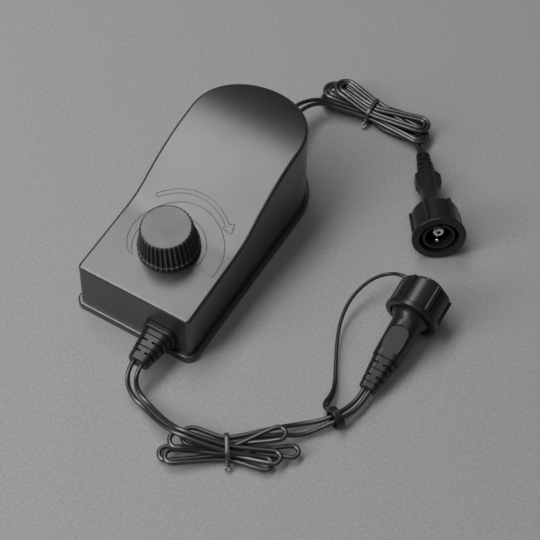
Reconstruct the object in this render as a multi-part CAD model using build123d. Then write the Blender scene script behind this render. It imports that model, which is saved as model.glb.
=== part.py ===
from build123d import *
import math
import os

# In-line light dimmer: a housing with a knob, two twin-wire cords tied in hanks, a plug and a socket
# with a cap. Millimetres. Origin at the bottom centre of the housing, +Z up, the knob end towards -Y.

os.makedirs("parts", exist_ok=True)

# Driving sizes of the housing
HALF_WIDTH = 32.5
LENGTH = 132.5
PLATE = 4.0
INSET = 1.9
WALL = 2.4
DRAFT = 1.2
FRONT_SLOPE = 3.5
RISE_Y = -25.0
RISE_Z = 32.4
RISE_END_Y = -8.0
RISE_END_Z = 37.4
BACK_Z = 41.4
EDGE_R = 1.5
FRONT_Y = -LENGTH / 2
ARC_Y = LENGTH / 2 - HALF_WIDTH
BEYOND = 80.0

# Driving sizes of the cords
WIRE_R = 1.1
PITCH = 2.75
HALF_PITCH = PITCH / 2
HALF_TIP = 2.1

# Driving sizes of the knob
KNOB_Y = -33.5
KNOB_Z = 31.9
KNOB_TILT = 5.5
KNOB_R = 14.6
KNOB_TOP_R = 12.0
KNOB_H = 16.0
KNOB_RIBS = 36
SHAFT_R = 3.0
SHAFT_FLAT = 2.3
RUNNING = 0.05

# Where the connectors lie: the middle of each tail, the plan direction of the axis and its rise in degrees
PLUG_TAIL = (66.7, 100.0, 5.05)
PLUG_PLAN = (0.546, -0.838)
PLUG_TILT = 8.3
SOCKET_TAIL = (107.8, -38.3, 5.6)
SOCKET_PLAN = (0.018, 0.9998)
SOCKET_TILT = 10.6
PANEL_RISE = math.radians(6.0)
LOOP_SPOT = (102.7, -58.1, 5.3)
LOOP_R = 5.2
STRAP_R = 0.85
BASE = (Align.CENTER, Align.CENTER, Align.MIN)

CHUNKS = {}


def keep(name, *solids):
    """Writes one node's solids to its file."""
    shapes = []
    for item in solids:
        shapes.extend(item.solids())
    CHUNKS[name] = shapes
    export_step(Compound(children=shapes), "parts/" + name + ".step")


def outline(inset, corner):
    """The housing's plan: square front with round corners, back end a half circle."""
    front = FRONT_Y + inset
    straight = Rectangle(2 * (HALF_WIDTH - inset), ARC_Y - front, align=(Align.CENTER, Align.MIN))
    plan = Pos(0, front) * straight + Pos(0, ARC_Y) * Circle(HALF_WIDTH - inset)
    front_corners = plan.vertices().sort_by(Axis.Y)[:2]
    return fillet(front_corners, corner)


def under_top(drop):
    """Everything below the top, lowered by drop: its side is flat in front, a hollow rise, a round crest."""
    fall = math.tan(math.radians(FRONT_SLOPE)) * (BEYOND + RISE_Y)
    front = Line((-BEYOND, RISE_Z - fall - drop), (RISE_Y, RISE_Z - drop))
    rise = TangentArc(front @ 1, (RISE_END_Y, RISE_END_Z - drop), tangent=front % 1)
    crest = TangentArc(rise @ 1, (BEYOND, BACK_Z - drop), tangent=rise % 1)
    rest = Polyline(crest @ 1, (BEYOND, -1), (-BEYOND, -1), front @ 0)
    side = Plane.YZ * make_face([front, rise, crest, rest])
    return extrude(side, amount=40, both=True)


# Housing

SCREW_SPOTS = [(-25, -57), (25, -57), (-20, 47), (20, 47)]
BOARD_SPOTS = [(-18, -36), (18, -36), (-18, 34), (18, 34)]
BOSS_R = 3.4
SCREW_R = 1.4
SCREW_TOP = 15.0
RELIEF_X = 15.0
OUT_RELIEF_Z = 11.5
IN_RELIEF_Z = 14.0
NECK_WIDE = 9.0
NECK_TALL = 6.0


def on_rim(edge):
    """True for the edges round the top, and not for those across it or on the walls."""
    spot = edge.center()
    return spot.Z > 28 and (abs(spot.X) > 5 or abs(spot.Y) > 50)


def make_upper_shell():
    outer = Pos(0, 0, PLATE) * extrude(outline(INSET, 2.6), amount=60, taper=DRAFT)
    outer = outer & under_top(0)
    outer = fillet(outer.edges().filter_by(on_rim), EDGE_R)
    inner = Pos(0, 0, PLATE - 1) * extrude(outline(INSET + WALL, 2.6), amount=60, taper=DRAFT)
    inner = inner & under_top(WALL)
    shell = outer - inner
    for x, y in SCREW_SPOTS:
        boss = Pos(x, y, PLATE + 2.4) * Cylinder(BOSS_R, 60, align=BASE)
        shell = shell + (boss & outer)
        shell = shell - Pos(x, y, PLATE) * Cylinder(SCREW_R + RUNNING, 2 * (SCREW_TOP + 0.5 - PLATE))
    shell = shell - Pos(RELIEF_X, FRONT_Y, OUT_RELIEF_Z) * Box(NECK_WIDE, 12, NECK_TALL)
    shell = shell - Pos(0, -FRONT_Y, IN_RELIEF_Z) * Box(NECK_WIDE, 12, NECK_TALL)
    shell = shell - knob_frame() * Cylinder(3.6, 16)
    return shell


def make_base_plate():
    plate = extrude(outline(0, 4.5), amount=PLATE)
    plate = fillet(plate.faces().sort_by(Axis.Z)[-1].edges(), 0.9)
    tongue = outline(INSET + WALL + 0.6, 2.0) - outline(INSET + WALL + 2.2, 1.4)
    plate = plate + Pos(0, 0, PLATE) * extrude(tongue, amount=1.6)
    for x, y in BOARD_SPOTS:
        plate = plate + Pos(x, y, PLATE) * Cylinder(3, BOARD_Z - PLATE, align=BASE)
    for x, y in SCREW_SPOTS:
        plate = plate + Pos(x, y, PLATE) * Cylinder(2.7, 2.2, align=BASE)
        plate = plate - Pos(x, y) * Cylinder(SCREW_R + 0.2, 20)
        plate = plate - Pos(x, y) * Cylinder(3.2, 4.4)
    plate = plate - Pos(0, 4) * Box(34, 50, 0.8)
    return plate


def make_base_screws():
    screws = []
    for x, y in SCREW_SPOTS:
        head = Pos(x, y, 1.3) * Cylinder(2.8, 1.8)
        drive = Pos(x, y, 0.4) * (Box(3.2, 0.8, 1.4) + Box(0.8, 3.2, 1.4))
        shank = Pos(x, y, 2.0) * Cylinder(SCREW_R, SCREW_TOP - 2, align=BASE)
        screws.append(head + shank - drive)
    return screws


# Knob and its potentiometer, on an axis square to the top

def knob_frame():
    return Pos(0, KNOB_Y, KNOB_Z) * Rot(X=KNOB_TILT)


def fluted(radius, depth):
    """A closed star whose points are the knob's grip ribs."""
    corners = []
    for i in range(2 * KNOB_RIBS):
        r = radius if i % 2 == 0 else radius - depth
        angle = math.pi * i / KNOB_RIBS
        corners.append((r * math.cos(angle), r * math.sin(angle)))
    return make_face(Polyline(*corners, close=True))


def make_knob():
    gap = 1.0
    low = Pos(0, 0, gap + 2.0) * fluted(KNOB_R - 0.5, 0.7)
    high = Pos(0, 0, KNOB_H - 1.2) * fluted(KNOB_TOP_R + 0.3, 0.7)
    grip = loft([low, high], ruled=True)
    skirt = Pos(0, 0, gap) * Cylinder(KNOB_R, 2.2, align=BASE)
    skirt = fillet(skirt.edges().sort_by(Axis.Z)[-1], 0.6)
    crown = Pos(0, 0, KNOB_H - 1.4) * Cylinder(KNOB_TOP_R, 1.4, align=BASE)
    crown = fillet(crown.edges().sort_by(Axis.Z)[-1], 0.9)
    knob = grip + skirt + crown
    hollow = Pos(0, 0, gap) * Cone(11.2, 9.4, 2 * (KNOB_H - 3 - gap))
    hub = Pos(0, 0, 6.2) * Cylinder(5.0, KNOB_H - 7, align=BASE)
    bore = Cylinder(SHAFT_R, 2 * (KNOB_H - 4))
    flat = Pos(SHAFT_FLAT + 2, 0, 9) * Box(4, 8, KNOB_H - 6)
    return knob_frame() * ((knob - hollow) + hub - (bore - flat))


def make_pot():
    frame = knob_frame()
    can_top = -WALL - 1.2
    can = Pos(0, 0, can_top - 9) * Cylinder(8.5, 9, align=BASE)
    can = can + Pos(0, -9.5, can_top - 8.5) * Box(12, 5, 1.6, align=BASE)
    for x in (-5, 0, 5):
        can = can + Pos(x, -12.5, can_top - 8.2) * Box(1.2, 5, 0.8, align=BASE)
    bush = Pos(0, 0, can_top) * Cylinder(3.5, -can_top + 4.6, align=BASE)
    body = can + bush - Pos(0, 0, can_top - 6) * Cylinder(SHAFT_R + RUNNING, 20, align=BASE)
    keep("pot_body", frame * body)
    shaft = Pos(0, 0, can_top - 5.8) * Cylinder(SHAFT_R, KNOB_H - 4.1 - can_top + 5.8, align=BASE)
    flat = Pos(SHAFT_FLAT + 2, 0, 5.2) * Box(4, 8, 12, align=BASE)
    keep("pot_shaft", frame * (shaft - flat))
    hexagon = extrude(RegularPolygon(5.5, 6), amount=2.0)
    keep("pot_nut", frame * (Pos(0, 0, 1.6) * (hexagon - Cylinder(3.55, 8))))
    washer = Cylinder(6.0, 0.8, align=BASE) - Cylinder(3.6, 4)
    keep("pot_washer", frame * (Pos(0, 0, 0.7) * washer))


# Circuit inside the housing

BOARD_Z = 9.0
BOARD_TOP = BOARD_Z + 1.6
BLOCK_Y = 36.0
OUT_BLOCK_X = 8.0


def make_circuit():
    board = Pos(0, 0, BOARD_Z) * Box(44, 84, 1.6, align=BASE)
    for x, y in BOARD_SPOTS:
        board = board - Pos(x, y, BOARD_Z) * Cylinder(1.5, 8)
    keep("circuit_board", board)
    pins = []
    for x, y in BOARD_SPOTS:
        head = Pos(x, y, BOARD_TOP) * Cylinder(2.6, 1.6, align=BASE)
        shank = Pos(x, y, BOARD_Z) * Cylinder(1.35, 2.0, align=BASE)
        pins.append(head + shank)
    keep("board_screws", *pins)
    tab = Pos(-12, 8, BOARD_TOP + 2) * Box(10, 4.6, 15, align=BASE)
    for x in (-14.5, -12, -9.5):
        tab = tab + Pos(x, 8, BOARD_TOP) * Box(1, 0.6, 2.2, align=BASE)
    keep("power_transistor", tab)
    sink = Pos(-12, 12.0, BOARD_TOP) * Box(20, 2.6, 20, align=BASE)
    for i in range(6):
        sink = sink + Pos(-12 + 3.6 * (i - 2.5), 16.2, BOARD_TOP) * Box(1.2, 7, 20, align=BASE)
    keep("heat_sink", sink)
    can = Pos(11, 22, BOARD_TOP) * Cylinder(6.3, 20, align=BASE)
    can = fillet(can.edges().sort_by(Axis.Z)[-1], 0.8)
    keep("electrolytic_capacitor", can)
    core = Pos(11, 2, BOARD_TOP + 0.4 + 3.5) * Torus(6.0, 3.4)
    keep("choke", core)
    keep("control_chip", Pos(10, -16, BOARD_TOP) * Box(10, 5, 2.2, align=BASE))
    keep("resistor_row", *[Pos(-12 + 5 * i, -12, BOARD_TOP) * Box(2.4, 6, 2, align=BASE) for i in range(3)])
    blocks = []
    for x, y in ((OUT_BLOCK_X, -BLOCK_Y), (0, BLOCK_Y)):
        block = Pos(x, y, BOARD_TOP) * Box(11, 8, 7, align=BASE)
        for side in (-PITCH, PITCH):
            block = block - Pos(x + side, y, BOARD_TOP + 7) * Cylinder(1.6, 5)
        blocks.append(block)
    keep("terminal_blocks", *blocks)


# Ribbed boots: the housing's two strain reliefs and the connectors' tails

GROOVE = 0.75
SLOT = 1.2


def ribbed_boot(tip, root, length, cuts):
    """A tapered boot from z = 0 to length; each cut is a place along it and whether a web bridges it."""
    start = RectangleRounded(tip[0], tip[1], 0.4 * tip[1])
    stop = Pos(0, 0, length) * RectangleRounded(root[0], root[1], 0.4 * root[1])
    boot = loft([start, stop])
    boot = fillet(boot.faces().sort_by(Axis.Z)[0].edges(), 0.8)
    for place, bridged in cuts:
        part = place / length
        wide = tip[0] + (root[0] - tip[0]) * part
        tall = tip[1] + (root[1] - tip[1]) * part
        width, depth = (SLOT, 1.2) if bridged else (GROOVE, 0.7)
        inside = RectangleRounded(wide - 2 * depth, tall - 2 * depth, 0.36 * (tall - 2 * depth))
        groove = extrude(Rectangle(wide + 4, tall + 4) - inside, amount=width / 2, both=True)
        if bridged:
            groove = groove - Box(2.2, tall + 8, 2 * SLOT)
        boot = boot - Pos(0, 0, place) * groove
    return boot


# Strain reliefs of the housing

RELIEF_LENGTH = 19.0
COLLAR = 2.6
COLLAR_WIDE = 16.6
COLLAR_TALL = 12.0
SLOPE_RUN = math.tan(math.radians(DRAFT))
OUT_WALL_Y = FRONT_Y + INSET + SLOPE_RUN * (OUT_RELIEF_Z - PLATE) - 0.15
IN_WALL_Y = -FRONT_Y - INSET - SLOPE_RUN * (IN_RELIEF_Z - PLATE) + 0.15


def make_relief():
    """A strain relief with its tip at z = 0; the wall it sits on is at z = RELIEF_LENGTH."""
    cuts = [(4.1, True), (6.8, False), (10.1, True), (13.1, False), (15.9, False)]
    boot = ribbed_boot((10.0, 7.0), (14.8, 10.8), RELIEF_LENGTH - COLLAR, cuts)
    collar = extrude(RectangleRounded(COLLAR_WIDE, COLLAR_TALL, 3.6), amount=COLLAR)
    collar = fillet(collar.faces().sort_by(Axis.Z)[0].edges(), 0.6)
    neck = Box(NECK_WIDE - 0.2, NECK_TALL - 0.2, WALL + 1.4, align=BASE)
    inside = Box(NECK_WIDE + 3, NECK_TALL + 3, 1.8, align=BASE)
    relief = boot + Pos(0, 0, RELIEF_LENGTH - COLLAR) * collar
    return relief + Pos(0, 0, RELIEF_LENGTH) * neck + Pos(0, 0, RELIEF_LENGTH + WALL + 1.2) * inside


def make_reliefs():
    out = Plane((RELIEF_X, OUT_WALL_Y - RELIEF_LENGTH, OUT_RELIEF_Z), x_dir=(1, 0, 0), z_dir=(0, 1, 0))
    keep("output_strain_relief", out * make_relief())
    inp = Plane((0, IN_WALL_Y + RELIEF_LENGTH, IN_RELIEF_Z), x_dir=(1, 0, 0), z_dir=(0, -1, 0))
    keep("input_strain_relief", inp * make_relief())


def inner_wire(x, y, z, block_x, block_y):
    """A wire from a relief's inner face to a terminal block, square to both."""
    inward = 4 if block_y > y else -4
    points = [Vector(x, y, z), Vector(x, y + inward, z),
              Vector(block_x, block_y - inward, BOARD_TOP + 4), Vector(block_x, block_y, BOARD_TOP + 4)]
    path = FilletPolyline(*points, radius=corner_radii(points))
    return sweep((path ^ 0) * Circle(0.9), path=path)


def make_inner_leads():
    back = WALL + 3.0
    block_face = BLOCK_Y + 4
    out = []
    inp = []
    for side in (-1, 1):
        spot = RELIEF_X + 2.2 * side
        out.append(inner_wire(spot, OUT_WALL_Y + back, OUT_RELIEF_Z, OUT_BLOCK_X + PITCH * side, -block_face))
        inp.append(inner_wire(2.2 * side, IN_WALL_Y - back, IN_RELIEF_Z, PITCH * side, block_face))
    keep("output_inner_leads", *out)
    keep("input_inner_leads", *inp)


# Cords: each is two wires side by side. A route point is x, y, z and half the distance between the wires.

def offset_route(route, side):
    """One wire's points beside the middle of the route; side is -1 on the right, +1 on the left."""
    headings = [math.atan2(b[1] - a[1], b[0] - a[0]) for a, b in zip(route, route[1:])]
    wire = []
    for i, (x, y, z, half) in enumerate(route):
        one = headings[max(i - 1, 0)]
        two = headings[min(i, len(headings) - 1)]
        turn = math.remainder(two - one, 2 * math.pi)
        across = one + turn / 2 + math.pi / 2
        reach = side * half / math.cos(turn / 2)
        wire.append(Vector(x + reach * math.cos(across), y + reach * math.sin(across), z))
    return wire


def without_straight(points):
    """Leaves out a point where the wire hardly turns."""
    kept = [points[0]]
    for here, after in zip(points[1:], points[2:]):
        if (here - kept[-1]).get_angle(after - here) > 1.5:
            kept.append(here)
    return kept + [points[-1]]


def corner_radii(points):
    radii = []
    for before, here, after in zip(points, points[1:], points[2:]):
        one = here - before
        two = after - here
        turn = math.radians(one.get_angle(two))
        radii.append(min(0.48 * min(one.length, two.length) / math.tan(turn / 2), 60.0))
    return radii


def tube(name, points):
    points = without_straight(points)
    radii = corner_radii(points)
    path = FilletPolyline(*points, radius=radii)
    solid = sweep((path ^ 0) * Circle(WIRE_R), path=path)
    ideal = math.pi * WIRE_R ** 2 * path.length
    lowest = solid.bounding_box().min.Z
    print(name, "length", round(path.length, 1), "least radius", round(min(radii), 2),
          "volume ratio", round(solid.volume / ideal, 4), "lowest", round(lowest, 2))
    keep(name, solid)
    return path


def behind(tail, plan, tilt, distance):
    """The point straight behind a connector's tail, on its axis."""
    rise = math.radians(tilt)
    flat = math.hypot(plan[0], plan[1])
    back = distance * math.cos(rise) / flat
    return (tail[0] - back * plan[0], tail[1] - back * plan[1], tail[2] - distance * math.sin(rise))


def hank_point(centre, angle, u, v, z):
    turn = math.radians(angle)
    return Vector(centre[0] + u * math.cos(turn) - v * math.sin(turn),
                  centre[1] + u * math.sin(turn) + v * math.cos(turn), z)


# Input cord: in at the near left of its hank, three turns, then out beneath it towards the plug
IN_CENTRE = (31.0, 114.0)
IN_ANGLE = 2.5
IN_HALF = 28.0
IN_LOW = 4.9
IN_HIGH = 12.0
IN_LIFT = 1.8
IN_TURNS = 3
UNDER = 2.1


def input_hank(side):
    """Points of one wire round the hank; the first and last runs lead in and out."""
    pts = []
    near = -IN_TURNS * PITCH
    shift = HALF_PITCH * (side + 1)
    spread = 1.12
    past = IN_HALF + 2.9
    for k in range(2 * IN_TURNS):
        v = near + k * PITCH + shift
        rightward = k % 2 == 0
        level = IN_LOW if rightward else IN_HIGH
        lift = IN_LIFT if rightward else 0.0
        waist = IN_LOW if rightward else IN_HIGH - 1.2
        left = past if k == 2 * IN_TURNS - 1 else IN_HALF
        ends = (-IN_HALF, IN_HALF) if rightward else (IN_HALF, -left)
        if k > 0:
            pts.append(hank_point(IN_CENTRE, IN_ANGLE, ends[0], v * spread, level + IN_LIFT - lift))
        pts.append(hank_point(IN_CENTRE, IN_ANGLE, -1, v, waist))
        pts.append(hank_point(IN_CENTRE, IN_ANGLE, ends[1], v * spread, level + lift))
    pts.append(hank_point(IN_CENTRE, IN_ANGLE, -past, (v + 0.6 * PITCH) * spread, UNDER))
    return pts


def input_wire(side):
    tip_y = IN_WALL_Y + RELIEF_LENGTH
    lead_in = [(0, tip_y, IN_RELIEF_Z, HALF_TIP), (0, tip_y + 5.5, IN_RELIEF_Z, HALF_TIP),
               (5.0, 101.5, 9.5, HALF_PITCH), (15.5, 105.6, 5.4, HALF_PITCH)]
    lead_out = [(37.0, 109.0, UNDER, HALF_PITCH), (49.0, 108.4, 2.2, HALF_PITCH),
                (56.5, 110.4, 3.0, HALF_PITCH), behind(PLUG_TAIL, PLUG_PLAN, PLUG_TILT, 7.5) + (HALF_PITCH,),
                PLUG_TAIL + (HALF_PITCH,)]
    first = offset_route(lead_in, side)
    last = offset_route(lead_out, side)
    return first, input_hank(side), last


# Output cord: in across the top of its hank, two turns, then out to the socket
OUT_CENTRE = (71.4, -94.9)
OUT_ANGLE = 34.0
OUT_LOW = 2.4
OUT_HIGH = 9.0
OUT_OVER = 11.9


def output_hank(side):
    shift = HALF_PITCH * (side + 1)
    near = -1.5 * PITCH
    pts = [hank_point(OUT_CENTRE, OUT_ANGLE, -20.5, 4.4 + HALF_PITCH * side, OUT_OVER + 0.4),
           hank_point(OUT_CENTRE, OUT_ANGLE, -2, -3.4 + HALF_PITCH * side, OUT_OVER),
           hank_point(OUT_CENTRE, OUT_ANGLE, 23, near - PITCH + shift - 0.8, OUT_OVER - 1.0)]
    lefts = [-29, -22]
    rights = [23, 28]
    for k in range(1, 5):
        v = near + (k - 1) * PITCH + shift
        leftward = k % 2 == 1
        level = OUT_LOW if leftward else OUT_HIGH
        turn = (k - 1) // 2
        start = rights[turn] if leftward else lefts[turn]
        stop = lefts[turn] if leftward else rights[min(turn + 1, 1)]
        pts.append(hank_point(OUT_CENTRE, OUT_ANGLE, start, v * 1.15, level))
        pts.append(hank_point(OUT_CENTRE, OUT_ANGLE, -2, v, level))
        if k < 4:
            pts.append(hank_point(OUT_CENTRE, OUT_ANGLE, stop, v * 1.15, level))
    return pts


def output_wire(side):
    tip_y = OUT_WALL_Y - RELIEF_LENGTH
    lead_in = [(RELIEF_X, tip_y, OUT_RELIEF_Z, HALF_TIP), (RELIEF_X, tip_y - 4.5, OUT_RELIEF_Z, HALF_TIP),
               (18.0, -93.0, 4.8, 1.7), (27.0, -95.6, 2.6, HALF_PITCH), (41.0, -101.3, 8.0, HALF_PITCH)]
    lead_out = [(82.5, -78.0, 7.5, HALF_PITCH), (91.5, -70.4, 2.0, 2.3), (98.3, -63.4, 3.4, 1.6),
                LOOP_SPOT + (HALF_PITCH,), (106.3, -50.6, 4.4, 1.6),
                behind(SOCKET_TAIL, SOCKET_PLAN, SOCKET_TILT, 5.5) + (HALF_PITCH,),
                SOCKET_TAIL + (HALF_PITCH,)]
    return offset_route(lead_in, side), output_hank(side), offset_route(lead_out, side)


def least_gap(path, skip):
    """Least distance of a wire to itself, surface to surface, on points along it."""
    count = int(path.length)
    spots = [path @ (i / count) for i in range(count + 1)]
    best = 1e9
    for i, one in enumerate(spots):
        for two in spots[i + skip:]:
            best = min(best, (one - two).length)
    return best - 2 * WIRE_R


def middle(a, b):
    return (a + b) * 0.5


def make_cord(name, wire):
    for letter, side in (("a", -1), ("b", 1)):
        first, hank, last = wire(side)
        enter = middle(first[-1], hank[0])
        leave = middle(hank[-1], last[0])
        tube(name + "_lead_" + letter, first + [enter])
        path = tube(name + "_hank_" + letter, [enter] + hank + [leave])
        print(name, letter, "least gap to itself", round(least_gap(path, 12), 2))
        tube(name + "_tail_" + letter, [leave] + last)


def make_tie(name, centre, angle, u, v, half_width, height):
    """A flat band round the waist of a hank, its ends twisted together beside it."""
    band = RectangleRounded(2 * half_width, height, 2.6)
    hole = RectangleRounded(2 * half_width - 1.6, height - 1.6, 1.8)
    ring = extrude(band - hole, amount=1.3, both=True)
    ring = Rot(Y=90) * (Rot(Z=90) * ring)
    twist = Pos(0, -half_width - 3.0, 1.6 - height / 2) * (Rot(X=90) * Cylinder(1.3, 7.0))
    spot = hank_point(centre, angle, u, v, height / 2 + 0.1)
    keep(name, Pos(spot.X, spot.Y, spot.Z) * (Rot(Z=angle) * (ring + twist)))


# Connectors: each is built along its own axis from the tail, then laid on the floor

def laid(tail, plan, tilt):
    """Frame with its z along a connector: from the tail, in the plan direction, nose raised by tilt."""
    rise = math.radians(tilt)
    flat = math.hypot(plan[0], plan[1])
    along = (plan[0] / flat * math.cos(rise), plan[1] / flat * math.cos(rise), math.sin(rise))
    across = (-plan[1] / flat, plan[0] / flat, 0)
    return Plane(tail, x_dir=across, z_dir=along)


def turned(points):
    """A solid turned about z, its side a smooth line through radius and height pairs."""
    side = Spline(*points)
    rest = Polyline(points[-1], (0, points[-1][1]), (0, points[0][1]), points[0])
    return revolve(Plane.XZ * make_face([side, rest]), Axis.Z)


def grip_bars(radius, start, stop):
    """Six lengthwise grip bars, two of them level with the axis."""
    bars = []
    for i in range(6):
        bar = Pos(radius - 1.2, 0, start) * Box(2.4, 2.0, stop - start, align=BASE)
        bar = chamfer(bar.edges().filter_by(Axis.Z).sort_by(Axis.X)[-2:], 0.5)
        bars.append(Rot(Z=60 * i) * bar)
    return bars


GRIP_R = 13.0
FACET_R = 12.0
RIM_R = 13.2
SHROUD_R = 8.0
MOUTH_R = 9.6
MAIN_Y = 1.2
MAIN_R = 3.0
SIDE_Y = -4.5
SIDE_R = 1.0

RING_BACK = 36.9
RING_SHOULDER = 43.9
RING_FACE = 60.9
JOURNAL_R = 5.5


def make_plug_body(place):
    cuts = [(3.0, True), (6.4, False), (10.2, True), (13.5, False)]
    body = ribbed_boot((6.6, 5.4), (8.8, 8.0), 14.2, cuts)
    body = body + turned([(4.4, 14.0), (4.6, 22.0), (4.9, 30.0), (5.4, 34.0), (6.0, RING_BACK - 0.25)])
    edge = [(4.0, 14.6), (6.4, 17.2), (6.4, 23.5), (4.4, 28.2)]
    across = edge + [(-x, z) for x, z in reversed(edge)]
    wings = extrude(Plane.XZ * make_face(Polyline(*across, close=True)), amount=2.5, both=True)
    wings = fillet(wings.edges().filter_by(Axis.Y), 0.9)
    journal = Pos(0, 0, 36) * Cylinder(JOURNAL_R, 5.2, align=BASE)
    stop_flange = Pos(0, 0, 41.0) * Cylinder(7.3, 1.6, align=BASE)
    stem = Pos(0, 0, 42.5) * Cylinder(6.9, 2.0, align=BASE)
    keep("plug_body", place * (body + wings + journal + stop_flange + stem))


def make_plug():
    place = laid(PLUG_TAIL, PLUG_PLAN, PLUG_TILT)
    make_plug_body(place)
    shroud = Pos(0, 0, 44.5) * Cylinder(SHROUD_R, RING_FACE - 1.0 - 44.5, align=BASE)
    shroud = fillet(shroud.edges().sort_by(Axis.Z)[-1], 0.4) - Pos(0, 0, 46) * Cylinder(6.6, 20, align=BASE)
    shroud = shroud - Pos(0, SHROUD_R, 56) * Box(2.4, 2.0, 12)
    keep("plug_shroud", place * shroud)
    insulator = Pos(0, 0, 46.05) * Cylinder(6.55, 2.6, align=BASE)
    insulator = insulator - Pos(0, MAIN_Y, 47.05) * Cylinder(MAIN_R + RUNNING, 4, align=BASE)
    insulator = insulator - Pos(0, SIDE_Y, 47.05) * Cylinder(SIDE_R + RUNNING, 4, align=BASE)
    keep("plug_insulator", place * insulator)
    tip = RING_FACE - 2.8
    tube_pin = Pos(0, MAIN_Y, 47.1) * Cylinder(MAIN_R, tip - 47.1, align=BASE)
    tube_pin = fillet(tube_pin.edges().sort_by(Axis.Z)[-1], 1.2)
    keep("plug_sleeve_contact", place * (tube_pin - Pos(0, MAIN_Y, tip) * Cylinder(1.0, 16)))
    pin = Pos(0, SIDE_Y, 47.1) * Cylinder(SIDE_R, tip - 47.1, align=BASE)
    keep("plug_pin_contact", place * fillet(pin.edges().sort_by(Axis.Z)[-1], 0.7))
    seal = Pos(0, 0, 45.2) * (Cylinder(9.3, 1.8, align=BASE) - Cylinder(SHROUD_R + RUNNING, 8))
    keep("plug_seal", place * seal)
    make_coupling_ring(place)


def make_coupling_ring(place):
    flare = turned([(6.7, RING_BACK), (7.9, 38.9), (9.6, 41.4), (11.0, 43.4), (11.7, 45.4)])
    ring = flare + Pos(0, 0, 45.3) * Cylinder(11.7, RING_FACE - 45.3, align=BASE)
    for bar in grip_bars(GRIP_R - 0.4, RING_SHOULDER, RING_FACE - 1.0):
        ring = ring + bar
    rim = Pos(0, 0, RING_FACE - 1.8) * Cylinder(RIM_R, 1.8, align=BASE)
    ring = ring + fillet(rim.edges(), 0.5)
    ring = ring - Cylinder(JOURNAL_R + RUNNING, 2 * 45)
    ring = ring - Pos(0, 0, 40.7) * Cylinder(7.6, 6, align=BASE)
    ring = ring - Pos(0, 0, 44.2) * Cylinder(MOUTH_R, 30, align=BASE)
    keep("coupling_ring", place * ring)


CAP_RIM = 40.5
CAP_END = 56.9
NOSE_R = 9.5
NOSE_END = 53.0
SPINDLE_R = 4.6


def make_socket_body(place):
    cuts = [(3.0, False), (6.0, True), (9.6, False), (12.6, True), (15.9, False)]
    body = ribbed_boot((8.0, 5.8), (11.6, 8.8), 16.8, cuts)
    low = Pos(0, 0, 16.6) * RectangleRounded(12.4, 9.4, 3.6)
    high = Pos(0, 0, 35.5) * RectangleRounded(14.0, 13.4, 6.3)
    neck = turned([(6.8, 35.2), (7.2, 37.0), (8.0, 38.6), (9.1, 39.9)])
    lip = Pos(0, 0, 39.8) * Cylinder(9.2, 1.6, align=BASE)
    nose = Pos(0, 0, 41.2) * Cylinder(NOSE_R, NOSE_END - 41.2, align=BASE)
    nose = chamfer(nose.edges().sort_by(Axis.Z)[-1], 0.6)
    body = body + loft([low, high]) + neck + lip + nose
    body = body - Pos(0, 0, 43.0) * Cylinder(SHROUD_R + 0.1, 20, align=BASE)
    floor = Plane((0, 4.05, 20.0), x_dir=(-1, 0, 0), z_dir=(0, math.cos(PANEL_RISE), -math.sin(PANEL_RISE)))
    side = Polyline((-5.0, 8.4), (-4.3, 0), (4.3, 0), (5.0, 8.4))
    arch = ThreePointArc((5.0, 8.4), (0, 13.2), (-5.0, 8.4))
    keep("socket_body", place * (body - extrude(floor * make_face([side, arch]), amount=4)))


def make_cap(place):
    shell = Pos(0, 0, CAP_RIM + 2) * Cylinder(FACET_R, CAP_END - CAP_RIM - 2, align=BASE)
    shell = fillet(shell.edges().sort_by(Axis.Z)[-1], 0.8)
    for bar in grip_bars(GRIP_R, CAP_RIM + 2, CAP_END - 0.5):
        shell = shell + bar
    collar = Pos(0, 0, CAP_RIM) * Cylinder(RIM_R, 2.6, align=BASE)
    spindle = Pos(0, 0, CAP_END - 0.2) * Cylinder(SPINDLE_R, 2.7, align=BASE)
    disc = Pos(0, 0, CAP_END + 2.4) * Cylinder(6.2, 1.2, align=BASE)
    cap = shell + fillet(collar.edges(), 0.6) + spindle + fillet(disc.edges().sort_by(Axis.Z)[-1], 0.5)
    cap = cap - Cylinder(NOSE_R + RUNNING, 2 * (NOSE_END + 1.6)) - Cylinder(10.7, 2 * (CAP_RIM + 1.4))
    keep("screw_cap", place * cap)
    gasket = Pos(0, 0, NOSE_END + 0.1) * Cylinder(9.4, 1.45, align=BASE) - Cylinder(5, 200)
    keep("cap_gasket", place * gasket)
    swivel = Pos(0, 0, CAP_END + 0.15) * Cylinder(8.0, 2.1, align=BASE)
    swivel = swivel + Pos(8.4, 0, CAP_END + 0.15) * Box(3.0, 3.6, 2.1, align=BASE)
    keep("cap_swivel_ring", place * (swivel - Cylinder(SPINDLE_R + RUNNING, 200)))


def spring_tube(y, pin_r, wall):
    """A socket contact with a floor, round the place of a plug contact."""
    outside = Cylinder(pin_r + wall, 6.5, align=BASE)
    return Pos(0, y, 44.55) * (outside - Pos(0, 0, 1) * Cylinder(pin_r + RUNNING, 8, align=BASE))


def make_socket():
    place = laid(SOCKET_TAIL, SOCKET_PLAN, SOCKET_TILT)
    make_socket_body(place)
    core = Pos(0, 0, 43.05) * Cylinder(6.4, 9.0, align=BASE)
    core = core - Pos(0, MAIN_Y, 44.5) * Cylinder(MAIN_R + 0.65, 12, align=BASE)
    core = core - Pos(0, SIDE_Y, 44.5) * Cylinder(SIDE_R + 0.4, 12, align=BASE)
    keep("socket_insulator", place * core)
    main = spring_tube(MAIN_Y, MAIN_R, 0.6)
    side = spring_tube(SIDE_Y, SIDE_R, 0.35)
    keep("socket_contact", place * main, place * side)
    make_cap(place)


# The strap that keeps the cap: from the cap's ring to a loop round the output cord

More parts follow.
